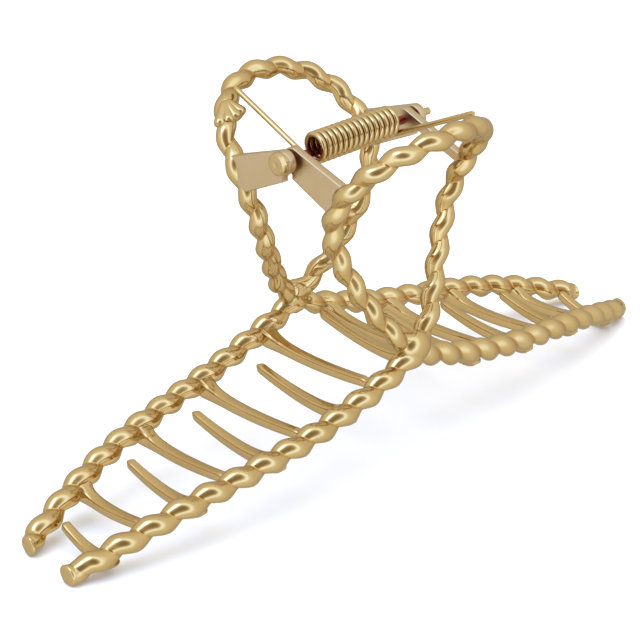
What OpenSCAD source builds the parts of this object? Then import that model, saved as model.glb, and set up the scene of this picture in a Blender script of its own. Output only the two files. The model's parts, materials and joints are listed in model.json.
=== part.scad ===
// Twisted-rope claw hair clip: two cast halves, a headed hinge pin and a torsion spring.
// Frame: origin on the floor under the hinge, X along the clip and the pin, Y from the front
// half (-Y) to the rear half (+Y), Z up. Millimetres. The clip is drawn closed.

/* [Arms] */
// distance between the cut ends of the arms
clip_l = 105; // [80:1:140]
// half the gap between the two halves' arm centres at their ends
end_y = 4.5; // [3:0.1:8]
// how far the arms bow out beyond their ends, at the middle
bow = 7.1; // [3:0.1:12]
// how full the bow is
bow_power = 2.6; // [1.5:0.1:4]
// height of the middle of an arm above its ends
arch = 13.7; // [5:0.1:25]
// depth of the gentle wave in the arch
arch_wave = 0.85; // [0:0.05:2]
// height of the arm centres' ends above the floor
rest_h = 1.41; // [1:0.01:3]

/* [Rope] */
// radius of the rope over the crown of a lobe
crown_r = 1.68; // [1.2:0.01:2.5]
// radius of the rope in the groove between lobes
groove_r = 1.06; // [0.7:0.01:2]
// radius of an arm's plain cut end
end_r = 1.5; // [1:0.01:2.5]
// thickness of the loops' rope as a share of the arms'
loop_scale = 0.9; // [0.7:0.01:1.1]
// lobes along one arm
arm_lobes = 13; // [8:1:20]
// lobes round one handle loop
loop_lobes = 21; // [12:1:30]

/* [Handle loops] */
// height of a loop's foot above the arm centres' middle
foot_rise = 1.6; // [0:0.1:4]
// height of a loop
loop_h = 30.8; // [20:0.1:45]
// half width of a loop at half height
loop_w = 10.4; // [6:0.1:18]
// how much wider the loop is above than below
loop_flare = 5.4; // [0:0.1:9]
// extra fullness of both ends
loop_full = 1.3; // [0:0.1:4]
// distance of a loop's waist from the middle plane
waist_y = 7.3; // [4:0.1:12]
// distance of a loop's top from the middle plane
top_y = 17.9; // [10:0.1:25]

/* [Teeth] */
// pitch of the teeth, rear and front ones in turn
tooth_pitch = 6; // [4:0.1:10]
// width of a tooth at its root
tooth_w = 1.7; // [1:0.05:3]
// width of a tooth at its tip
tip_w = 1.1; // [0.6:0.05:2]
// how far a tooth hangs below its arm's centre at the root
root_drop = 0.7; // [0:0.1:2]
// sag of a rear tooth between root and tip
rear_sag = 0.95; // [0:0.05:2]
// sag of a front tooth between root and tip
front_sag = 1.35; // [0:0.05:2]
// how far a front tooth reaches beyond the middle plane, as a share of its arm's distance
front_reach = 0.55; // [0.2:0.01:0.8]
// space between a rear tooth's tip and the front arm's centre
rear_stop = 2.6; // [2:0.1:6]

/* [Hinge] */
// height of the pin above the arm centres at their ends
hinge_rise = 40.95; // [30:0.1:55]
// radius of the pin
pin_r = 0.6; // [0.4:0.01:1]
// radius of the pin's head
head_r = 1.6; // [1:0.05:3]
// thickness of the pin's head
head_t = 1.0; // [0.5:0.05:2]
// radius of the pin's tail beyond the lug
tail_r = 0.5; // [0.3:0.01:0.9]
// how far the tail stands out
tail_l = 2.15; // [0.5:0.1:5]
// running clearance round the pin
pin_gap = 0.04; // [0.01:0.01:0.1]
// thickness of a lug
lug_t = 1.2; // [0.8:0.05:2]
// outer face of a rear lug from the middle of the clip
rear_lug_x = 12.6; // [8:0.1:18]
// outer face of a front lug from the middle of the clip
front_lug_x = 10.8; // [6:0.1:16]
// radius of the eye round the pin
eye_r = 1.6; // [1.2:0.05:3]

/* [Spring] */
// diameter of the wire
wire_d = 0.78; // [0.5:0.01:1.2]
// outside diameter of the coil
coil_d = 4.4; // [3:0.1:7]
// distance between turns
coil_pitch = 0.96; // [0.7:0.01:1.5]
// turns of the coil that stay with the rear half
coil_turns = 14; // [6:1:20]
// angle of a leg above level
leg_tilt = 24.6; // [0:0.1:60]
// reach of a leg from the middle plane
leg_reach = 14.6; // [10:0.1:20]
// height of the coil's centre above the pin's
coil_up = 0.45; // [0:0.05:0.8]

/* [Hidden] */
floor_z = rest_h;
hinge_z = floor_z + hinge_rise;
half_l = clip_l / 2;
foot_z = floor_z + arch + foot_rise;
foot_y = end_y + bow;
ring_n = 9;
wire_r = wire_d / 2;
coil_r = coil_d / 2 - wire_r;
coil_x = -coil_turns * coil_pitch / 2 - 0.35;
front_turn_x = coil_x + coil_turns * coil_pitch + wire_d + 0.16;
rings_per_lobe = ring_n;
lobe_turn = 360;
start_s = 0.0012;
press = 0.01;

gold = [0.83, 0.70, 0.44];
gold_wire = [0.80, 0.66, 0.38];
gold_pin = [0.86, 0.74, 0.50];

// ---- vectors ----
function unit(v) = v / norm(v);

// ---- centre lines of the rear half ----
function arm_y(s) = end_y + bow * (1 - pow(s, bow_power));
function arm_z(s) = floor_z + arch * (1 - s) - arch_wave * sin(360 * s);
function arm_pt(s, side) = [side * s * half_l, arm_y(s), arm_z(s)];

function loop_v(t) = (1 - cos(t)) / 2;
function loop_x(t) = sin(t) * (loop_w - loop_flare * cos(t) + loop_full * pow(cos(t), 2));
function low_y(v) = waist_y + (foot_y - waist_y) * pow((0.5 - v) * 2, 1.6);
function high_y(v) = waist_y + (top_y - waist_y) * pow((v - 0.5) * 2, 1.9);
function surf_y(v) = v < 0.5 ? low_y(v) : high_y(v);
function loop_pt(t) = [loop_x(t), surf_y(loop_v(t)), foot_z + loop_h * loop_v(t)];
function surf_n(v) =
    let (a = max(v - 0.005, 0), b = min(v + 0.005, 1))
    unit([0, 1, -(surf_y(b) - surf_y(a)) / (loop_h * (b - a))]);

// share of a loop's length at a lobe count, turned into the loop's angle
loop_arc = [for (t = 0, a = 0; t <= 360; a = a + norm(loop_pt(t + 4) - loop_pt(t)), t = t + 4)
    [a, t]];
function loop_at(share) = lookup(share * loop_arc[len(loop_arc) - 1][0], loop_arc);

// ---- rope section: one round crown and one sharp groove, winding along the rope ----
function rope_r(a) = groove_r + (crown_r - groove_r) * pow(abs(cos(a / 2)), 0.9);
function rope_ring(p, u, v, phase, k = 1, plain = 0) =
    [for (i = [0 : ring_n - 1])
        let (a = 360 * i / ring_n, r = k * rope_r(a - phase) * (1 - plain) + end_r * plain)
        p + r * (cos(a) * u + sin(a) * v)];

// ---- plain ring for wire and teeth ----
function oval_ring(p, u, v, ru, rv, n) =
    [for (i = [0 : n - 1]) let (a = 360 * (i + 0.5) / n) p + ru * cos(a) * u + rv * sin(a) * v];

// a skin over a row of rings, open with flat ends or closed on itself
module skin(rings, closed = false) {
    n = len(rings[0]);
    m = len(rings);
    rows = closed ? m : m - 1;
    pts = [for (r = rings) each r];
    sides = [for (j = [0 : rows - 1]) for (i = [0 : n - 1])
        let (k = (i + 1) % n, q = (j + 1) % m)
        each [[j * n + i, q * n + k, j * n + k], [j * n + i, q * n + i, q * n + k]]];
    low = [for (i = [0 : n - 1]) i];
    high = [for (i = [n - 1 : -1 : 0]) (m - 1) * n + i];
    polyhedron(points = pts, faces = closed ? sides : concat(sides, [low, high]), convexity = 8);
}

// ---- one arm: from the middle to a cut end ----
function arm_dir(s, side) =
    unit(arm_pt(min(s + 0.004, 1), side) - arm_pt(max(s - 0.004, 0), side));
module arm(side) {
    last = arm_lobes * rings_per_lobe;
    start = side > 0 ? 80 : 120;
    skin([for (j = [0 : last])
        let (s = start_s + (1 - start_s) * j / last, d = arm_dir(s, side),
             u = unit(cross(d, [0, 0, 1])), v = cross(d, u),
             plain = min(max((s * half_l - half_l + 3) / 1.8, 0), 1))
        rope_ring(arm_pt(s, side), u, v, start + lobe_turn * j / rings_per_lobe, 1, plain)]);
}

// ---- one handle loop, closed at its foot ----
module handle_loop() {
    count = loop_lobes * rings_per_lobe;
    skin([for (j = [0 : count - 1])
        let (t = loop_at(j / count), d = unit(loop_pt(t + 1) - loop_pt(t - 1)),
             n = surf_n(loop_v(t)), u = unit(n - d * (n * d)), v = cross(d, u))
        rope_ring(loop_pt(t), u, v, lobe_turn * j / rings_per_lobe, loop_scale)], true);
}

// ---- hub where the arms meet the loop's foot ----
module hub() {
    translate([0, foot_y, foot_z - 0.9])
        scale([1.1, 0.95, 1.25])
            sphere(r = 1.75, $fn = 24);
}

// ---- one tooth of the rear half, standing at x and ending at y1 ----
tooth_steps = 10;
tooth_n = 8;
function tooth_y(q, y0, y1) = y0 + (y1 - y0) * pow(q, 1.1);
function tooth_z(q, z0, rise, sag) = let (k = pow(q, 0.8))
    z0 - root_drop + (rise + root_drop) * q - sag * 4 * k * (1 - k);
module tooth(x, y1, rise, sag) {
    s = abs(x) / half_l;
    y0 = arm_y(s) - 0.35;
    z0 = arm_z(s);
    function at(q) = [x, tooth_y(q, y0, y1), tooth_z(q, z0, rise, sag)];
    skin([for (j = [0 : tooth_steps])
        let (q = j / tooth_steps, u = [1, 0, 0],
             d = unit(at(min(q + 0.02, 1)) - at(max(q - 0.02, 0))),
             w = tip_w + (tooth_w - tip_w) * pow(1 - q, 1.3),
             h = 1.05 + 0.3 * (1 - q) + 0.9 * pow(max(1 - q / 0.3, 0), 2))
        oval_ring(at(q), u, cross(d, u), w / 2, h / 2, tooth_n)]);
}
module rear_tooth(x) {
    tooth(x, rear_stop - arm_y(abs(x) / half_l), -1.1, rear_sag);
}
module front_tooth(x) {
    tooth(x, -front_reach * arm_y(abs(x) / half_l), 0.1, front_sag);
}

// ---- a lug: plate from the loop's strand to the eye round the pin ----
broad_lug = [[0, 0], [0, -2.7], [7.8, -6.3], [9.2, -4.2], [9.9, -2.1], [0.5, 1.52]];
slim_lug = [[0, 0], [0.9, -1.1], [3, -1.0], [9.4, -3.4], [9.9, -2.1], [0.5, 1.52]];
module lug_flat(bore, outline) {
    difference() {
        union() {
            polygon(outline);
            circle(r = eye_r, $fn = 64);
        }
        circle(r = bore, $fn = 64);
    }
}
module lug(x_out, side, bore, outline = broad_lug) {
    translate([side > 0 ? x_out - lug_t : -x_out, 0, hinge_z])
        rotate([90, 0, 90])
            linear_extrude(height = lug_t)
                lug_flat(bore, outline);
}

// ---- seat cast on the loop under the spring's leg ----
seat_top = [-8.3, 14.5, hinge_z + 3.9];
seat_out = [-11.1, 12.3, hinge_z + 1.5];
seat_in = [-7.95, 12.0, hinge_z + 2.5];
module seat() {
    hull() {
        translate(seat_top)
            sphere(r = 0.35, $fn = 16);
        translate(seat_out)
            sphere(r = 0.5, $fn = 16);
        translate(seat_in)
            sphere(r = 0.45, $fn = 16);
    }
}

// ---- spring ----
wire_n = 8;
turn_steps = 16;
// a point of the coil, turned back by angle a from the foot of the rear leg
function coil_pt(a, x) =
    [x, coil_r * sin(leg_tilt - a), hinge_z + coil_up - coil_r * cos(leg_tilt - a)];
function leg_pt(k) =
    let (p = coil_pt(0, coil_x), reach = (leg_reach - p[1]) / cos(leg_tilt))
    p + k * reach * [0, cos(leg_tilt), sin(leg_tilt)];
leg_stations = [1, 0.8, 0.6, 0.4, 0.2, 0.07];
module wire(points) {
    m = len(points);
    skin([for (j = [0 : m - 1])
        let (d = unit(points[min(j + 1, m - 1)] - points[max(j - 1, 0)]),
             u = unit(cross([1, 0, 0], d)), v = cross(d, u))
        oval_ring(points[j], u, v, wire_r, wire_r, wire_n)]);
}
module coil_and_leg() {
    wire(concat([for (k = leg_stations) leg_pt(k)],
        [for (j = [0 : coil_turns * turn_steps])
            coil_pt(360 * j / turn_steps, coil_x + coil_pitch * j / turn_steps)]));
}
// the last turn and the front leg, drawn as for the rear half and turned round by its caller
module turn_and_leg() {
    shift = [-front_turn_x - coil_x, 0, 0];
    translate(shift)
        wire(concat([for (k = leg_stations) leg_pt(k)],
            [for (j = [0 : turn_steps - 2]) coil_pt(360 * j / turn_steps, coil_x)]));
}

// ---- hinge pin: head, shank and thin tail ----
module pin_body() {
    x0 = -rear_lug_x - head_t;
    x1 = rear_lug_x + 0.15;
    x2 = rear_lug_x + tail_l;
    translate([0, 0, hinge_z])
        rotate([0, 90, 0])
            rotate_extrude($fn = 48)
                polygon([[0, x0 + 0.12], [0.3, x0 + 0.05], [0.45, x0], [head_r - 0.4, x0 + 0.04],
                         [head_r - 0.1, x0 + 0.2], [head_r, x0 + 0.5], [head_r, -rear_lug_x],
                         [pin_r, -rear_lug_x], [pin_r, x1 - 0.1], [tail_r, x1],
                         [tail_r, x2 - 0.2], [tail_r - 0.2, x2], [0, x2]]);
}

// ---- sub-parts of the rear half ----
module rear_handle_loop() {
    color(gold) handle_loop();
    color(gold) hub();
}
module rear_arm_left() {
    color(gold) arm(-1);
}
module rear_arm_right() {
    color(gold) arm(1);
}
module rear_teeth_left() {
    color(gold) for (k = [1, 3, 5, 7]) rear_tooth(-k * tooth_pitch);
}
module rear_teeth_right() {
    color(gold) for (k = [1, 3, 5, 7]) rear_tooth(k * tooth_pitch);
}
module rear_lug_left() {
    color(gold) lug(rear_lug_x, -1, pin_r - press);
}
module rear_lug_right() {
    color(gold) lug(rear_lug_x, 1, pin_r - press);
}
module rear_spring_seat() {
    color(gold) seat();
}
module hinge_pin() {
    color(gold_pin) pin_body();
}
module torsion_spring() {
    color(gold_wire) coil_and_leg();
}

// ---- sub-parts of the front half: the same casting turned round the Z axis ----
module turned() {
    rotate([0, 0, 180]) children();
}
module front_handle_loop() {
    color(gold) turned() handle_loop();
    color(gold) turned() hub();
}
module front_arm_left() {
    color(gold) turned() arm(1);
}
module front_arm_right() {
    color(gold) turned() arm(-1);
}
module front_teeth_left() {
    color(gold) turned() for (k = [2, 4, 6, 8]) front_tooth(k * tooth_pitch);
}
module front_teeth_right() {
    color(gold) turned() for (k = [2, 4, 6, 8]) front_tooth(-k * tooth_pitch);
}
module front_middle_tooth() {
    color(gold) turned() front_tooth(0);
}
module front_lug_left() {
    color(gold) turned() lug(front_lug_x, 1, pin_r + pin_gap);
}
module front_lug_right() {
    color(gold) turned() lug(front_lug_x, -1, pin_r + pin_gap, slim_lug);
}
module front_spring_seat() {
    color(gold) turned() seat();
}
module spring_front_leg() {
    color(gold_wire) turned() turn_and_leg();
}

rear_handle_loop();
rear_arm_left();
rear_arm_right();
rear_teeth_left();
rear_teeth_right();
rear_lug_left();
rear_lug_right();
rear_spring_seat();
hinge_pin();
torsion_spring();
front_handle_loop();
front_arm_left();
front_arm_right();
front_teeth_left();
front_teeth_right();
front_middle_tooth();
front_lug_left();
front_lug_right();
front_spring_seat();
spring_front_leg();
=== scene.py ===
"""Twisted-rope claw hair clip in pale gold plate: two cast halves, hinge pin and torsion spring.

Everything is built in millimetres with numpy and turned into metres when a mesh is made.
The rear half is built on the +Y side. The front half is the same casting turned half a turn
about Z, with its own teeth, a slim far lug and rounder ends to its arms.
"""
import json
import math

import bpy
import numpy as np
from mathutils import Matrix, Vector


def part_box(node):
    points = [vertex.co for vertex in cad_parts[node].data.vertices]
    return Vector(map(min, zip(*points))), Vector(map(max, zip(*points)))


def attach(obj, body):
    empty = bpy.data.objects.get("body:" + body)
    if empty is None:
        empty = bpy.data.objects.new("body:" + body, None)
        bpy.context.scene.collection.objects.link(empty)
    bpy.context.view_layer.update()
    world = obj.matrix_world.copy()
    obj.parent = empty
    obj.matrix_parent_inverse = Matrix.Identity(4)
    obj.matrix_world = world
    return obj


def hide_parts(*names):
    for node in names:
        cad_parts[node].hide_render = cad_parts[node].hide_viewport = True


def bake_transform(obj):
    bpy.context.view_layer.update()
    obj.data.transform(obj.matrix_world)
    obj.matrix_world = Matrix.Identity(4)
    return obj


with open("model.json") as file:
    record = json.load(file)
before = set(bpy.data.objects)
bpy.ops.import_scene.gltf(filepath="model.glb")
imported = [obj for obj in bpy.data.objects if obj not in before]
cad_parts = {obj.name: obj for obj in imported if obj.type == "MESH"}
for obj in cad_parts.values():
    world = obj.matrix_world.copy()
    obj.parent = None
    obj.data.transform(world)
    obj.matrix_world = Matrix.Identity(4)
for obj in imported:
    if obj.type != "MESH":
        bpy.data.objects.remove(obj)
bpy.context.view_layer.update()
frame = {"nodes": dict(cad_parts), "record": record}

MM = 0.001
FULL_TURN = 2 * math.pi
X_AXIS, Y_AXIS, Z_AXIS = np.eye(3)

# ---- sizes, in millimetres, read from the frame ----
hinge_joint = next(j for j in frame["record"]["behaviour"]["joints"] if j["name"] == "jaw_hinge")
HINGE = np.array(hinge_joint["pos_m"]) / MM


def node_box(node):
    """Lowest and highest corner of a CAD node in millimetres."""
    low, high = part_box(node)
    return np.array(low) / MM, np.array(high) / MM


rear_lug_lo, rear_lug_hi = node_box("rear_lug_right")
front_lug_lo, front_lug_hi = node_box("front_lug_right")
leg_lo, leg_hi = node_box("spring_front_leg")
coil_lo, coil_hi = node_box("torsion_spring")

# ---- driving sizes of the casting, as in the part's source ----
HALF_L = 52.5
END_Y, BOW, BOW_POWER = 4.5, 7.1, 2.6
ARCH, ARCH_WAVE = 13.7, 0.85
FLOOR_Z = HINGE[2] - 40.95
CROWN_R, GROOVE_R, LOOP_SCALE = 1.72, 0.97, 0.9
ARM_LOBES, LOOP_LOBES = 13, 21
FOOT_Z = FLOOR_Z + ARCH + 1.6
LOOP_H, LOOP_W, LOOP_FLARE, LOOP_FULL = 30.8, 10.4, 5.4, 1.3
WAIST_Y, TOP_Y, FOOT_Y = 7.3, 17.9, END_Y + BOW
TOOTH_PITCH, ROOT_DROP = 6.0, 0.7
REAR_SAG, FRONT_SAG = 0.95, 1.35
FRONT_REACH, REAR_STOP = 0.55, 2.6
WIRE_R, COIL_R = 0.39, 1.81
LEG_TILT, LEG_REACH, COIL_UP = math.radians(24.6), 14.6, 0.45
COIL_TURNS = 15


# ---- vectors and meshes ----
def unit(v):
    return v / np.linalg.norm(v, axis=-1, keepdims=True)


def clamped(values):
    return np.clip(values, 0, 1)


def around(count):
    """Evenly spaced angles once round."""
    return np.linspace(0, FULL_TURN, count, endpoint=False)


def half_turn(points):
    """Points of the rear half turned about Z to the front half."""
    return points * np.array([-1.0, -1.0, 1.0])


def swept(centres, u, v, along_u, along_v):
    """Rings round the centres, from each ring point's distances along u and v."""
    return centres[:, None, :] + along_u[..., None] * u[:, None, :] + along_v[..., None] * v[:, None, :]


def skin(rings, closed=False):
    """Quads over rings of shape (rows, count, 3); flat ends unless closed on itself."""
    rows, count = rings.shape[:2]
    j, i = np.meshgrid(np.arange(rows if closed else rows - 1), np.arange(count), indexing="ij")
    nj, ni = (j + 1) % rows, (i + 1) % count
    quads = np.stack([j * count + i, j * count + ni, nj * count + ni, nj * count + i], -1)
    faces = quads.reshape(-1, 4).tolist()
    if not closed:
        faces.append(list(range(count))[::-1])
        faces.append([(rows - 1) * count + k for k in range(count)])
    return rings.reshape(-1, 3), faces


def joined(parts):
    """Several (points, faces) as one."""
    points, faces, base = [], [], 0
    for part_points, part_faces in parts:
        points.append(part_points)
        faces += [[base + k for k in face] for face in part_faces]
        base += len(part_points)
    return np.concatenate(points), faces


def make_piece(name, part, material, body, nodes, sharp_deg, painted_shade=None):
    """A mesh piece in metres that rides on a body and stands for its CAD nodes.

    The last argument gives one number a point, 0 to 1, for how much painted amber shade lies there.
    """
    points, faces = part
    mesh = bpy.data.meshes.new(name)
    mesh.from_pydata((points * MM).tolist(), [], faces)
    if painted_shade is None:
        painted_shade = np.zeros(len(points))
    # the painted amber shade goes to the material as a point attribute
    mask = mesh.attributes.new("painted_shade", "FLOAT", "POINT")
    mask.data.foreach_set("value", painted_shade.astype(np.float32))
    mesh.validate()
    mesh.update()
    mesh.materials.append(material)
    mesh.polygons.foreach_set("use_smooth", [True] * len(mesh.polygons))
    mesh.set_sharp_from_angle(angle=math.radians(sharp_deg))
    piece = bpy.data.objects.new(name, mesh)
    bpy.context.scene.collection.objects.link(piece)
    if body:
        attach(piece, body)
    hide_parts(*nodes)
    return piece


# ---- centre lines of the rear half ----
WAIST_HEIGHT = 0.5
FOOT_CURVE, TOP_CURVE = 1.6, 1.9


def arm_y(s):
    """Y of an arm at the share s of its length from the middle of the clip."""
    return END_Y + BOW * (1 - s ** BOW_POWER)


def arm_z(s):
    s = np.minimum(s, 1)
    return FLOOR_Z + ARCH * (1 - s) - ARCH_WAVE * np.sin(FULL_TURN * s)


def arm_line(s, side):
    return np.stack([side * s * HALF_L, arm_y(s), arm_z(s)], -1)


def loop_surface_y(height):
    """Y of the curved surface that a handle loop lies in, at a share of the loop's height."""
    below = clamped((WAIST_HEIGHT - height) / WAIST_HEIGHT)
    above = clamped((height - WAIST_HEIGHT) / WAIST_HEIGHT)
    return WAIST_Y + (FOOT_Y - WAIST_Y) * below ** FOOT_CURVE + (TOP_Y - WAIST_Y) * above ** TOP_CURVE


def loop_line(t):
    """Points of a handle loop's centre line; t runs from its foot once round."""
    height = (1 - np.cos(t)) / 2
    x = np.sin(t) * (LOOP_W - LOOP_FLARE * np.cos(t) + LOOP_FULL * np.cos(t) ** 2)
    return np.stack([x, loop_surface_y(height), FOOT_Z + LOOP_H * height], -1)


def loop_normal(t):
    """Outward normal of the curved surface that a handle loop lies in."""
    height, step = (1 - np.cos(t)) / 2, 0.005
    low, high = clamped(height - step), clamped(height + step)
    slope = (loop_surface_y(high) - loop_surface_y(low)) / (LOOP_H * (high - low))
    return unit(np.stack([np.zeros_like(height), np.ones_like(height), -slope], -1))


# ---- rope: one round crown and one sharp groove, winding along it ----
RING_N = 72
RINGS_PER_LOBE = 30
# the lobe's profile is a share of a full-shouldered curve and the rest of a plain round one
SHOULDER_SHARE, SHOULDER_POWER = 0.62, 0.8
PARTING_WIDTH = math.radians(20)
ARM_PARTING_HEIGHT, LOOP_PARTING_HEIGHT = 0.13, 0.07
# by the side of the arm: where its crown starts and where the mould's parting line runs
ARM_PHASE = {1: math.radians(80), -1: math.radians(165)}
ARM_PARTING = {1: math.radians(5), -1: math.radians(175)}
LOOP_PARTING = math.radians(88)
# the arms' ends: share of the arm left out at the middle, length over which the rope turns into
# a stub, how far it turns into one, and how far the cut stands past HALF_L
ARM_START = 0.0012
REAR_STUB_RUN, REAR_STUB_MOST, REAR_STUB_PAST = 1.6, 1.0, 0.2
FRONT_STUB_RUN, FRONT_STUB_MOST, FRONT_STUB_PAST = 2.8, 0.7, 0.85
ROUND_STUB_R = 1.35
EGG_HALF_W, EGG_TAPER, EGG_DOWN, EGG_UP = 1.25, 0.5, 1.39, 1.5
FLOOR_GAP = 0.02
# the cut end's softened rim: how far out each ring stands and how much it has shrunk
STUB_RIM = [(0.06, 0.98), (0.14, 0.93), (0.19, 0.84), (0.20, 0.5), (0.20, 0.02)]


def lobe_radius(angle):
    """Radius of the rope at an angle from the crown."""
    w = np.abs(np.cos(angle / 2))
    profile = SHOULDER_SHARE * w ** SHOULDER_POWER + (1 - SHOULDER_SHARE) * w * w
    return GROOVE_R + (CROWN_R - GROOVE_R) * profile


def from_parting(a, parting):
    """Angle between a and the parting line, 0 to half a turn."""
    return np.abs((a - parting + math.pi) % FULL_TURN - math.pi)


def rope_rings(centres, u, v, phase, parting, scale, ridge):
    """Rings round the centres, with the crown at phase and a low ridge on the parting line."""
    a = around(RING_N)
    r = scale * lobe_radius(a[None, :] - phase[:, None])
    r = r + ridge * clamped(1 - from_parting(a, parting) / PARTING_WIDTH)[None, :]
    return swept(centres, u, v, r * np.cos(a), r * np.sin(a))


def painted_rope_shade(phase, parting):
    """How much painted amber shade lies at each point of a rope: in the groove and beside the parting
    line.
    """
    groove_width, beside_share, beside_at, beside_width = 0.22, 0.8, 1.1 * PARTING_WIDTH, 0.16
    a = around(RING_N)
    w = np.abs(np.cos((a[None, :] - phase[:, None]) / 2))
    beside = np.exp(-((from_parting(a, parting) - beside_at) / beside_width) ** 2)[None, :]
    return clamped(clamped(1 - w / groove_width) + beside_share * beside)


def squared_off(rings, side, x_end):
    """Rings whose last two lobes are drawn back so that the rope ends on one plane across X.

    A ring's point is x, y, z and any further channels that travel with it.
    """
    rows, count, channels = rings.shape
    first = rows - 2 * RINGS_PER_LOBE
    index = np.arange(rows)
    out = rings.copy()
    for j in range(count):
        reach = side * rings[:, j, 0]
        stop = np.interp(x_end, reach[first:], index[first:])
        wanted = first + (stop - first) * (index[first:] - first) / (rows - 1 - first)
        for channel in range(channels):
            out[first:, j, channel] = np.interp(wanted, index, rings[:, j, channel])
    return out


def round_stub(a):
    """Section of a front arm's end: distances across and down at an angle."""
    return ROUND_STUB_R * np.cos(a), ROUND_STUB_R * np.sin(a)


def egg_stub(a):
    """Section of a rear arm's end, narrower towards the floor."""
    across = EGG_HALF_W * np.cos(a) * (1 - EGG_TAPER * clamped(np.sin(a)) ** 2)
    return across, np.where(np.sin(a) > 0, EGG_DOWN, EGG_UP) * np.sin(a)


def arm_rope(side, turned):
    """One arm's rope, from the middle of the clip to its cut end, and its painted amber shade."""
    if turned:
        section, run, most, past = round_stub, FRONT_STUB_RUN, FRONT_STUB_MOST, FRONT_STUB_PAST
    else:
        section, run, most, past = egg_stub, REAR_STUB_RUN, REAR_STUB_MOST, REAR_STUB_PAST
    rows = (ARM_LOBES + 1) * RINGS_PER_LOBE + 1
    s = np.linspace(ARM_START, (ARM_LOBES + 1) / ARM_LOBES, rows)
    centres = arm_line(s, side)
    d = unit(np.gradient(centres, axis=0))
    u = unit(np.cross(d, Z_AXIS))
    v = np.cross(d, u)
    phase = ARM_PHASE[side] + FULL_TURN * ARM_LOBES * s
    rings = rope_rings(centres, u, v, phase, ARM_PARTING[side], 1.0, ARM_PARTING_HEIGHT)
    across, down = section(around(RING_N))
    stub = swept(centres, u, v, across[None, :], down[None, :])
    k = clamped((s * HALF_L - HALF_L + run) / run)
    k = most * (k * k * (3 - 2 * k))[:, None, None]
    rings = rings * (1 - k) + stub * k
    rings[..., 2] = np.maximum(rings[..., 2], FLOOR_GAP)
    # painted amber shade in the groove and beside the parting line, fading where the rope turns into the
    # stub
    painted_shade = painted_rope_shade(phase, ARM_PARTING[side])[..., None] * (1 - k)
    cut = squared_off(np.concatenate([rings, painted_shade], -1), side, HALF_L + past)
    rings, painted_shade = cut[..., :3], cut[..., 3].ravel()
    tip = rings[-1].mean(0)
    caps = [tip + side * X_AXIS * out + (rings[-1] - tip) * shrunk for out, shrunk in STUB_RIM]
    painted_shade = np.append(painted_shade, np.zeros(len(STUB_RIM) * RING_N))
    return skin(np.concatenate([rings, np.array(caps)])), painted_shade


def loop_rope():
    """One handle loop's rope and its painted amber shade; its lobes are evenly spaced along it."""
    rows, samples, nudge = LOOP_LOBES * RINGS_PER_LOBE, 1441, 0.01
    fine = np.linspace(0, FULL_TURN, samples)
    steps = np.linalg.norm(np.diff(loop_line(fine), axis=0), axis=1)
    travelled = np.concatenate([[0], np.cumsum(steps)])
    share = np.arange(rows) / rows
    t = np.interp(share * travelled[-1], travelled, fine)
    d = unit(loop_line(t + nudge) - loop_line(t - nudge))
    n = loop_normal(t)
    u = unit(n - d * np.sum(n * d, -1, keepdims=True))
    v = np.cross(d, u)
    phase = FULL_TURN * LOOP_LOBES * share
    rings = rope_rings(loop_line(t), u, v, phase, LOOP_PARTING, LOOP_SCALE, LOOP_PARTING_HEIGHT)
    return skin(rings, closed=True), painted_rope_shade(phase, LOOP_PARTING).ravel()


HUB_DROP, HUB_RADII = 0.6, np.array([2.5, 1.8, 2.3])


def hub():
    """The smooth knuckle where both arms meet the loop's foot."""
    rows, count, pole = 24, 40, 0.02
    f = np.linspace(pole, math.pi - pole, rows)[:, None]
    a = around(count)
    ball = np.stack([np.sin(f) * np.cos(a), np.sin(f) * np.sin(a), -np.cos(f) * np.ones(count)], -1)
    return skin(np.array([0, FOOT_Y, FOOT_Z - HUB_DROP]) + ball * HUB_RADII)


# ---- teeth ----
TOOTH_ROWS, TOOTH_N = 40, 28
TOOTH_INSET = 0.35
RUN_CURVE, SAG_CURVE = 1.1, 0.8
# a tooth's section: at the tip, more towards the root, and the web at the root with its reach
TIP_W, ROOT_W, WEB_W, WEB_W_REACH = 1.3, 0.75, 0.9, 0.09
ROOT_W_CURVE = 1.3
TIP_DEPTH, ROOT_DEPTH, WEB_DEPTH, WEB_DEPTH_REACH = 1.4, 0.4, 1.2, 0.16
ROUNDING_FROM, ROUNDING_OVER = 0.955, 0.05
SQUARENESS = 4.5
FIRST_ANGLE = 0.01
NARROW_BELOW = 0.18
# strength and width of the painted amber shade along a tooth's four long edges
EDGE_SHADE, EDGE_SHADE_WIDTH = 0.75, 0.22
REAR_RISE, FRONT_RISE = -1.1, 0.1


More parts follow.
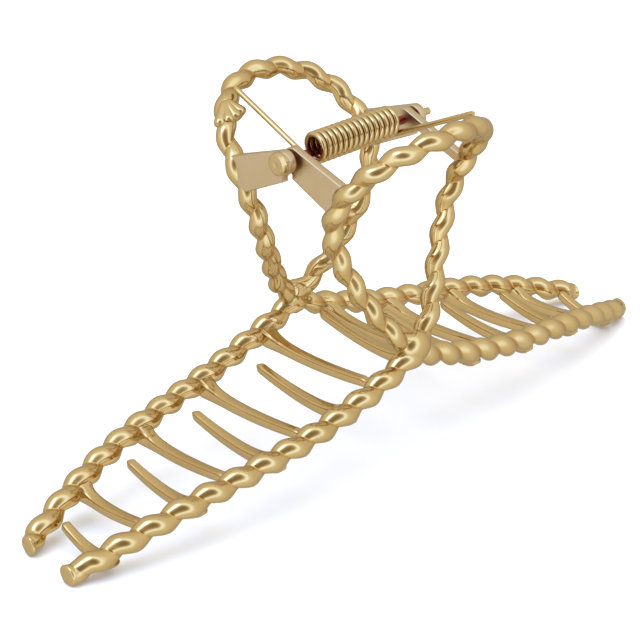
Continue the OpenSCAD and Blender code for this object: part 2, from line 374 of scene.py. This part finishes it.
def tooth(x, y_tip, rise, sag):
    """A tooth of the rear half: a deep web at the root that thins to a ridged, blunt finger."""
    s = abs(x) / HALF_L
    y_root, z_root = arm_y(s) - TOOTH_INSET, arm_z(s) - ROOT_DROP
    q = np.linspace(0, 1, TOOTH_ROWS)
    y = y_root + (y_tip - y_root) * q ** RUN_CURVE
    k = q ** SAG_CURVE
    z = z_root + (rise + ROOT_DROP) * q - sag * 4 * k * (1 - k)
    centres = np.stack([np.full_like(q, x), y, z], -1)
    d = unit(np.gradient(centres, axis=0))
    u = np.tile(X_AXIS, (TOOTH_ROWS, 1))
    v = np.cross(d, u)
    width = TIP_W + ROOT_W * (1 - q) ** ROOT_W_CURVE + WEB_W * np.exp(-(q / WEB_W_REACH) ** 2)
    depth = TIP_DEPTH + ROOT_DEPTH * (1 - q) + WEB_DEPTH * np.exp(-(q / WEB_DEPTH_REACH) ** 2)
    blunt = np.sqrt(clamped(1 - clamped((q - ROUNDING_FROM) / ROUNDING_OVER) ** 2))
    a = around(TOOTH_N) + FIRST_ANGLE
    squared = (np.abs(np.cos(a)) ** SQUARENESS + np.abs(np.sin(a)) ** SQUARENESS) ** (-1 / SQUARENESS)
    # v points up for a tooth that runs towards -Y: broad on top, narrow below
    up = np.sin(a) * squared
    across = np.cos(a) * squared * (1 - NARROW_BELOW + NARROW_BELOW * up)
    rings = swept(centres, u, v, (width / 2 * blunt)[:, None] * across, (depth / 2 * blunt)[:, None] * up)
    # painted amber shade along the tooth's four long edges
    from_edge = np.abs(a % (math.pi / 2) - math.pi / 4)
    edge_shade = EDGE_SHADE * clamped(1 - from_edge / EDGE_SHADE_WIDTH)
    return skin(rings), np.tile(edge_shade, TOOTH_ROWS)


def rear_tooth(x):
    return tooth(x, REAR_STOP - arm_y(abs(x) / HALF_L), REAR_RISE, REAR_SAG)


def front_tooth(x):
    return tooth(x, -FRONT_REACH * arm_y(abs(x) / HALF_L), FRONT_RISE, FRONT_SAG)


# ---- lugs: outlines about the pin's axis, as (y, z) ----
BROAD_LUG = [(0.0, -2.7), (3.9, -4.5), (7.8, -6.3), (9.3, -4.2), (10.9, -1.95)]
BROAD_NECK = [(-0.35, -1.75), (0.0, -2.1)]
SLIM_LUG = [(1.1, -1.1), (3.0, -1.0), (9.4, -3.4), (9.9, -2.1)]
SLIM_NECK = [(0.0, -1.6)]
EYE_R, EYE_FROM, EYE_TO, EYE_POINTS = 1.6, 71, 240, 30
LUG_EDGE = 0.13
# across a softened edge: how far in from the face, and how far the outline is drawn in there
EDGE_STEPS = [(0.0, 2.0), (0.0, 1.0), (0.3, 0.3), (1.0, 0.0)]


def lug_outline(drawn_in, slim):
    eye = [(EYE_R * math.cos(a), EYE_R * math.sin(a))
           for a in np.radians(np.linspace(EYE_FROM, EYE_TO, EYE_POINTS))]
    corners, neck = (SLIM_LUG, SLIM_NECK) if slim else (BROAD_LUG, BROAD_NECK)
    points = np.array(corners + eye + neck)
    along = np.roll(points, -1, 0) - np.roll(points, 1, 0)
    outward = unit(np.stack([along[:, 1], -along[:, 0]], -1))
    return points - outward * drawn_in


def lug(x_lo, x_hi, slim):
    """A flat plate between two X planes with softened edges."""
    low_face = [(x_lo + LUG_EDGE * into, LUG_EDGE * drawn) for into, drawn in EDGE_STEPS]
    high_face = [(x_hi - LUG_EDGE * into, LUG_EDGE * drawn) for into, drawn in EDGE_STEPS[::-1]]
    rows = []
    for x, drawn_in in low_face + high_face:
        outline = lug_outline(drawn_in, slim)
        rows.append(np.column_stack([np.full(len(outline), x), outline[:, 0], HINGE[2] + outline[:, 1]]))
    return skin(np.array(rows))


# ---- seat under a spring leg: a small fluted fan on the loop ----
SEAT_TOP = np.array([-8.9, 14.6, HINGE[2] + 3.8])
SEAT_OUT = np.array([-11.6, 12.9, HINGE[2] + 1.3])
SEAT_IN = np.array([-8.0, 11.9, HINGE[2] + 2.35])
SEAT_BULGE = 0.55
FLUTES, FLUTE_TOP_R, FLUTE_WIDENS = 4, 0.62, 0.30


def seat():
    """Four fat flutes that fan out from under the leg's tip."""
    count, rows, end_share = 20, 18, 0.002
    flutes = []
    for share in np.linspace(0, 1, FLUTES):
        foot = SEAT_OUT + (SEAT_IN - SEAT_OUT) * share - Y_AXIS * SEAT_BULGE * math.sin(math.pi * share)
        axis = unit(foot - SEAT_TOP)
        u = unit(np.cross(axis, Y_AXIS))
        v = np.cross(axis, u)
        f = np.linspace(0, 1, rows)[:, None]
        r = (FLUTE_TOP_R + FLUTE_WIDENS * f) * np.sqrt(np.clip(1 - (2 * f - 1) ** 8, end_share, 1))
        a = around(count)
        centres = SEAT_TOP + (foot - SEAT_TOP) * f
        flutes.append(skin(swept(centres, u[None], v[None], r * np.cos(a), r * np.sin(a))))
    return joined(flutes)


# ---- spring: one wire from the rear leg's tip to the front leg's tip ----
WIRE_N, STEPS_PER_TURN, LEG_STEPS = 20, 40, 30
WIRE_END_SHARE = 0.75


def spring():
    """The rear leg, the coil from the near side to the far side, and the front leg."""
    x_near = coil_lo[0] + WIRE_R
    x_far = (leg_lo[0] + leg_hi[0]) / 2
    total = FULL_TURN * COIL_TURNS + 2 * LEG_TILT
    a = np.linspace(0, total, COIL_TURNS * STEPS_PER_TURN)
    coil = np.stack([x_near + (x_far - x_near) * a / total,
                     COIL_R * np.sin(LEG_TILT - a),
                     HINGE[2] + COIL_UP - COIL_R * np.cos(LEG_TILT - a)], -1)
    reach = (LEG_REACH - coil[0, 1]) / math.cos(LEG_TILT)
    leg = reach * np.array([0, math.cos(LEG_TILT), math.sin(LEG_TILT)])
    k = np.linspace(1, 0, LEG_STEPS, endpoint=False)[:, None]
    rear_leg = coil[0] + k * leg
    front_leg = coil[-1] + k[::-1] * leg * np.array([1, -1, 1])
    points = np.concatenate([rear_leg, coil, front_leg])
    d = unit(np.gradient(points, axis=0))
    u = unit(np.cross(X_AXIS, d))
    v = np.cross(d, u)
    r = np.full((len(points), 1), WIRE_R)
    r[[0, -1]] *= WIRE_END_SHARE
    b = around(WIRE_N)
    return skin(swept(points, u, v, r * np.cos(b), r * np.sin(b)))


# ---- shader nodes ----
MIX_FIRST, MIX_SECOND, MIX_RESULT = 6, 7, 2


def add_node(nodes, kind, inputs=None, **settings):
    """A shader node with some of its settings and its plain input values."""
    node = nodes.new("ShaderNode" + kind)
    for name, value in settings.items():
        setattr(node, name, value)
    for label, value in (inputs or {}).items():
        node.inputs[label].default_value = value
    return node


def new_group(name, inputs, outputs):
    group = bpy.data.node_groups.new(name, "ShaderNodeTree")
    for kind, label, default in inputs:
        made = group.interface.new_socket(label, in_out="INPUT", socket_type=kind)
        made.default_value = default
    for kind, label in outputs:
        group.interface.new_socket(label, in_out="OUTPUT", socket_type=kind)
    return group


def noise(nodes, links, place, scale, detail):
    texture = add_node(nodes, "TexNoise", {"Scale": scale, "Detail": detail})
    links.new(place, texture.inputs["Vector"])
    return texture.outputs["Fac"]


def ranged(nodes, links, value, limits):
    """A value mapped from one range to another, by the names of the Map Range sockets."""
    node = add_node(nodes, "MapRange", limits)
    links.new(value, node.inputs["Value"])
    return node.outputs["Result"]


def combined(nodes, links, operation, first, second):
    node = add_node(nodes, "Math", operation=operation)
    links.new(first, node.inputs[0])
    links.new(second, node.inputs[1])
    return node.outputs[0]


def mixed(nodes, links, mask, first):
    """A mix that shows its first colour where the mask is 0; the second is set by the caller."""
    node = add_node(nodes, "Mix", data_type="RGBA")
    links.new(mask, node.inputs["Factor"])
    links.new(first, node.inputs[MIX_FIRST])
    return node


# ---- plated finishes, with painted amber and dark red shade ----
# painted shade colours: amber in the rope grooves and along the teeth's edges, dark red inside the coil
# and on the pin
AMBER_SHADE = (0.50, 0.25, 0.035, 1)
DARK_RED_SHADE = (0.22, 0.02, 0.012, 1)
DRIFT_SCALE, RUB_SCALE, SKIN_SCALE = 90, 650, 1400
DRIFT_FROM, DRIFT_TO = 0.42, 0.75
COAT, COAT_ROUGHNESS = 0.6, 0.08
SKIN_STRENGTH, SKIN_DEPTH = 0.25, 0.00006
# how far the painted dark red shade fades at its edges, and the radii inside which it lies
RED_SHADE_FADE = 0.1
COIL_RED_SHADE_R, PIN_RED_SHADE_R = COIL_R - 0.22, 0.9


def plating_group():
    """Colour drift, painted amber shade from each mesh's shade attribute, faint rubs and a soft cast
    skin.
    """
    group = new_group("plating_surface",
                      [("NodeSocketColor", "Plate", (0.8, 0.6, 0.3, 1)),
                       ("NodeSocketColor", "Deep plate", (0.7, 0.45, 0.15, 1)),
                       ("NodeSocketFloat", "Roughness", 0.2),
                       ("NodeSocketFloat", "Skin", 0.3)],
                      [("NodeSocketColor", "Color"), ("NodeSocketFloat", "Roughness"),
                       ("NodeSocketFloat", "Height")])
    nodes, links = group.nodes, group.links
    given, out = nodes.new("NodeGroupInput"), nodes.new("NodeGroupOutput")
    place = add_node(nodes, "TexCoord").outputs["Object"]

    drift = add_node(nodes, "ValToRGB")
    drift.color_ramp.elements[0].position = DRIFT_FROM
    drift.color_ramp.elements[1].position = DRIFT_TO
    links.new(noise(nodes, links, place, DRIFT_SCALE, 3), drift.inputs["Fac"])
    plate = mixed(nodes, links, drift.outputs["Color"], given.outputs["Plate"])
    links.new(given.outputs["Deep plate"], plate.inputs[MIX_SECOND])
    # painted amber shade, as strong as the mesh's point attribute says
    shade = add_node(nodes, "Attribute", attribute_name="painted_shade")
    shaded = mixed(nodes, links, shade.outputs["Fac"], plate.outputs[MIX_RESULT])
    shaded.inputs[MIX_SECOND].default_value = AMBER_SHADE
    links.new(shaded.outputs[MIX_RESULT], out.inputs["Color"])

    rub = ranged(nodes, links, noise(nodes, links, place, RUB_SCALE, 4),
                 {"From Min": 0.35, "From Max": 0.7, "To Min": -0.03, "To Max": 0.06})
    links.new(combined(nodes, links, "ADD", given.outputs["Roughness"], rub), out.inputs["Roughness"])
    cast_skin = noise(nodes, links, place, SKIN_SCALE, 2)
    links.new(combined(nodes, links, "MULTIPLY", cast_skin, given.outputs["Skin"]), out.inputs["Height"])
    return group


PLATING = plating_group()


def plated(name, plate, deep, roughness, skin_height):
    mat = bpy.data.materials.new(name)
    mat.use_nodes = True
    nodes, links = mat.node_tree.nodes, mat.node_tree.links
    group = add_node(nodes, "Group", node_tree=PLATING)
    for label, value in (("Plate", (*plate, 1)), ("Deep plate", (*deep, 1)),
                         ("Roughness", roughness), ("Skin", skin_height)):
        group.inputs[label].default_value = value
    bump = add_node(nodes, "Bump", {"Strength": SKIN_STRENGTH, "Distance": SKIN_DEPTH})
    links.new(group.outputs["Height"], bump.inputs["Height"])
    bsdf = nodes["Principled BSDF"]
    bsdf.inputs["Metallic"].default_value = 1.0
    bsdf.inputs["Coat Weight"].default_value = COAT
    bsdf.inputs["Coat Roughness"].default_value = COAT_ROUGHNESS
    links.new(group.outputs["Color"], bsdf.inputs["Base Color"])
    links.new(group.outputs["Roughness"], bsdf.inputs["Roughness"])
    links.new(bump.outputs["Normal"], bsdf.inputs["Normal"])
    return mat


def add_red_shade(mat, x_from, x_to, reach, rise):
    """Painted dark red shade close to a line that runs rise above the hinge axis, between two X planes.
    """
    nodes, links = mat.node_tree.nodes, mat.node_tree.links
    place = add_node(nodes, "TexCoord").outputs["Object"]
    apart = add_node(nodes, "SeparateXYZ")
    links.new(place, apart.inputs[0])
    height = add_node(nodes, "Math", {1: float((HINGE[2] + rise) * MM)}, operation="SUBTRACT")
    links.new(apart.outputs["Z"], height.inputs[0])
    flat = add_node(nodes, "CombineXYZ")
    links.new(apart.outputs["Y"], flat.inputs["X"])
    links.new(height.outputs[0], flat.inputs["Y"])
    radius = add_node(nodes, "VectorMath", operation="LENGTH")
    links.new(flat.outputs[0], radius.inputs[0])
    mask = ranged(nodes, links, radius.outputs["Value"],
                  {"From Min": float((reach + RED_SHADE_FADE) * MM),
                   "From Max": float((reach - RED_SHADE_FADE) * MM)})
    for plane, sign in ((x_from, 1), (x_to, -1)):
        inside = ranged(nodes, links, apart.outputs["X"],
                        {"From Min": float((plane - sign * RED_SHADE_FADE) * MM),
                         "From Max": float((plane + sign * RED_SHADE_FADE) * MM)})
        mask = combined(nodes, links, "MULTIPLY", mask, inside)
    base = nodes["Principled BSDF"].inputs["Base Color"]
    tint = mixed(nodes, links, mask, base.links[0].from_socket)
    tint.inputs[MIX_SECOND].default_value = DARK_RED_SHADE
    links.new(tint.outputs[MIX_RESULT], base)


cast_gold = plated("cast_gold", (0.575, 0.395, 0.145), (0.53, 0.35, 0.11), 0.15, 0.35)
lug_gold = plated("lug_gold", (0.60, 0.44, 0.235), (0.56, 0.40, 0.20), 0.34, 0.6)
pin_gold = plated("pin_gold", (0.58, 0.41, 0.17), (0.53, 0.36, 0.13), 0.20, 0.3)
wire_gold = plated("wire_gold", (0.58, 0.40, 0.155), (0.53, 0.35, 0.115), 0.18, 0.3)
# painted dark red shade inside the coil, and on the pin between the rear lugs
add_red_shade(wire_gold, coil_lo[0] - 1, coil_hi[0] + 1, COIL_RED_SHADE_R, COIL_UP)
add_red_shade(pin_gold, -rear_lug_lo[0], rear_lug_lo[0] + RED_SHADE_FADE, PIN_RED_SHADE_R, 0.0)

# ---- pieces ----
REAR_STEPS, FRONT_STEPS = [1, 3, 5, 7], [2, 4, 6, 8]
ROPE_SHARP, TOOTH_SHARP, LUG_SHARP, WIRE_SHARP = 60, 40, 50, 60


def build_half(name, body, turned):
    """One casting. Its own +X side becomes the left side when it is turned to the front."""
    place = half_turn if turned else (lambda p: p)
    steps, tooth_at = (FRONT_STEPS, front_tooth) if turned else (REAR_STEPS, rear_tooth)
    lug_lo, lug_hi = (front_lug_lo[0], front_lug_hi[0]) if turned else (rear_lug_lo[0], rear_lug_hi[0])

    def put(piece_name, part, nodes, sharp, painted_shade=None, material=cast_gold):
        points, faces = part
        make_piece(f"{name}_{piece_name}", (place(points), faces), material, body, nodes,
                   sharp, painted_shade)

    loop, loop_shade = loop_rope()
    knuckle = hub()
    put("loop", joined([loop, knuckle]), [f"{name}_handle_loop"], ROPE_SHARP,
        np.append(loop_shade, np.zeros(len(knuckle[0]))))
    for word, side in (("left", -1), ("right", 1)):
        own = -side if turned else side
        rope, rope_shade = arm_rope(own, turned)
        put(f"arm_{word}_rope", rope, [f"{name}_arm_{word}"], ROPE_SHARP, rope_shade)
        teeth = [tooth_at(own * k * TOOTH_PITCH) for k in steps]
        put(f"tooth_row_{word}", joined([mesh for mesh, shade in teeth]), [f"{name}_teeth_{word}"],
            TOOTH_SHARP, np.concatenate([shade for mesh, shade in teeth]))
        slim = turned and own < 0
        plate = lug(lug_lo, lug_hi, slim) if own > 0 else lug(-lug_hi, -lug_lo, slim)
        put(f"lug_plate_{word}", plate, [f"{name}_lug_{word}"], LUG_SHARP, material=lug_gold)
    if turned:
        centre, centre_shade = front_tooth(0.0)
        put("centre_tooth", centre, ["front_middle_tooth"], TOOTH_SHARP, centre_shade)
    put("leg_seat", seat(), [f"{name}_spring_seat"], TOOTH_SHARP)


build_half("rear", "rear_half", False)
build_half("front", "front_half", True)

# the wire rides on neither half: it is made in place and its placement is baked into its points
wire = make_piece("wound_spring", spring(), wire_gold, None,
                  ["torsion_spring", "spring_front_leg"], WIRE_SHARP)
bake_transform(wire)

pin = frame["nodes"]["hinge_pin"]
pin.data.materials.clear()
pin.data.materials.append(pin_gold)

# ---- floor and light ----
FLOOR_HALF = 3.0
LAMP_PLACE, LAMP_AIM = Vector((0.05, 0.15, 0.95)), Vector((0, 0, 0.02))


def pale_floor():
    """A plain floor that the metal doesn't mirror."""
    mat = bpy.data.materials.new("pale_floor")
    mat.use_nodes = True
    bsdf = mat.node_tree.nodes["Principled BSDF"]
    bsdf.inputs["Base Color"].default_value = (0.93, 0.90, 0.83, 1)
    bsdf.inputs["Roughness"].default_value = 0.9
    bsdf.inputs["Specular IOR Level"].default_value = 0.1
    mesh = bpy.data.meshes.new("floor")
    corners = [(-1, -1), (1, -1), (1, 1), (-1, 1)]
    mesh.from_pydata([(x * FLOOR_HALF, y * FLOOR_HALF, 0) for x, y in corners], [], [(0, 1, 2, 3)])
    mesh.materials.append(mat)
    floor = bpy.data.objects.new("floor", mesh)
    bpy.context.scene.collection.objects.link(floor)
    floor.visible_glossy = False


def overhead_softbox():
    """Soft light from above, which the metal doesn't mirror."""
    data = bpy.data.lights.new("overhead_softbox", "AREA")
    data.shape = "DISK"
    data.size = 1.7
    data.energy = 8.0
    lamp = bpy.data.objects.new("overhead_softbox", data)
    bpy.context.scene.collection.objects.link(lamp)
    lamp.location = LAMP_PLACE
    lamp.rotation_euler = (LAMP_AIM - LAMP_PLACE).to_track_quat("-Z", "Y").to_euler()
    lamp.visible_glossy = False


# each stop: cosine of the angle from the direction, and the colour there
TENT_TOWARD = (-0.62, -0.65, 0.44)
TENT_STOPS = [(-1.0, (0.47, 0.42, 0.31)), (-0.75, (0.62, 0.58, 0.47)), (-0.2, (0.92, 0.92, 0.90)),
              (0.35, (1.06, 1.12, 1.24)), (0.74, (1.60, 1.98, 2.90)), (0.91, (0.62, 0.56, 0.48)),
              (0.98, (0.37, 0.32, 0.27))]
PANEL_TOWARD = (-0.595, 0.109, 0.796)
PANEL_STOPS = [(-1.0, (0, 0, 0)), (0.93, (0, 0, 0)), (0.99, (0.9, 1.6, 3.6))]


def toward(nodes, links, where, direction, stops):
    """A colour ramp over the cosine between a world direction and a chosen one."""
    dot = add_node(nodes, "VectorMath", {1: direction}, operation="DOT_PRODUCT")
    links.new(where, dot.inputs[0])
    ramp = add_node(nodes, "ValToRGB")
    ramp.color_ramp.interpolation = "EASE"
    while len(ramp.color_ramp.elements) < len(stops):
        ramp.color_ramp.elements.new(0.5)
    for element, (cosine, colour) in zip(ramp.color_ramp.elements, stops):
        element.position = (cosine + 1) / 2
        element.color = (*colour, 1)
    links.new(ranged(nodes, links, dot.outputs["Value"], {"From Min": -1}), ramp.inputs["Fac"])
    return ramp.outputs["Color"]


def studio_world():
    """A white tent with a dark opening on the near left and a bright panel high on the left."""
    world = bpy.data.worlds.new("white_tent")
    world.use_nodes = True
    bpy.context.scene.world = world
    nodes, links = world.node_tree.nodes, world.node_tree.links
    where = add_node(nodes, "TexCoord").outputs["Generated"]
    total = add_node(nodes, "Mix", data_type="RGBA", blend_type="ADD", clamp_result=False)
    total.inputs["Factor"].default_value = 1.0
    links.new(toward(nodes, links, where, TENT_TOWARD, TENT_STOPS), total.inputs[MIX_FIRST])
    links.new(toward(nodes, links, where, PANEL_TOWARD, PANEL_STOPS), total.inputs[MIX_SECOND])
    links.new(total.outputs[MIX_RESULT], nodes["Background"].inputs["Color"])


# ---- camera ----
CAM_PLACE = Vector((-0.17853, -0.18014, 0.13582 + FLOOR_Z * MM))
CAM_AZ, CAM_EL, CAM_ROLL = (math.radians(x) for x in (43.7286, 25.5232, -0.8731))
CAM_LENS, CAM_SENSOR = 116.4, 36


def add_camera():
    look = Vector((math.sin(CAM_AZ) * math.cos(CAM_EL), math.cos(CAM_AZ) * math.cos(CAM_EL),
                   -math.sin(CAM_EL)))
    level = Vector((math.cos(CAM_AZ), -math.sin(CAM_AZ), 0))
    upright = level.cross(look)
    right = math.cos(CAM_ROLL) * level + math.sin(CAM_ROLL) * upright
    up = -math.sin(CAM_ROLL) * level + math.cos(CAM_ROLL) * upright
    data = bpy.data.cameras.new("camera")
    data.lens = CAM_LENS
    data.sensor_width = CAM_SENSOR
    data.clip_start = 0.01
    camera = bpy.data.objects.new("camera", data)
    bpy.context.scene.collection.objects.link(camera)
    columns = Matrix((right, up, -look)).transposed().to_4x4()
    camera.matrix_world = Matrix.Translation(CAM_PLACE) @ columns
    bpy.context.scene.camera = camera


pale_floor()
overhead_softbox()
add_camera()
studio_world()
bpy.context.scene.view_settings.view_transform = "Standard"
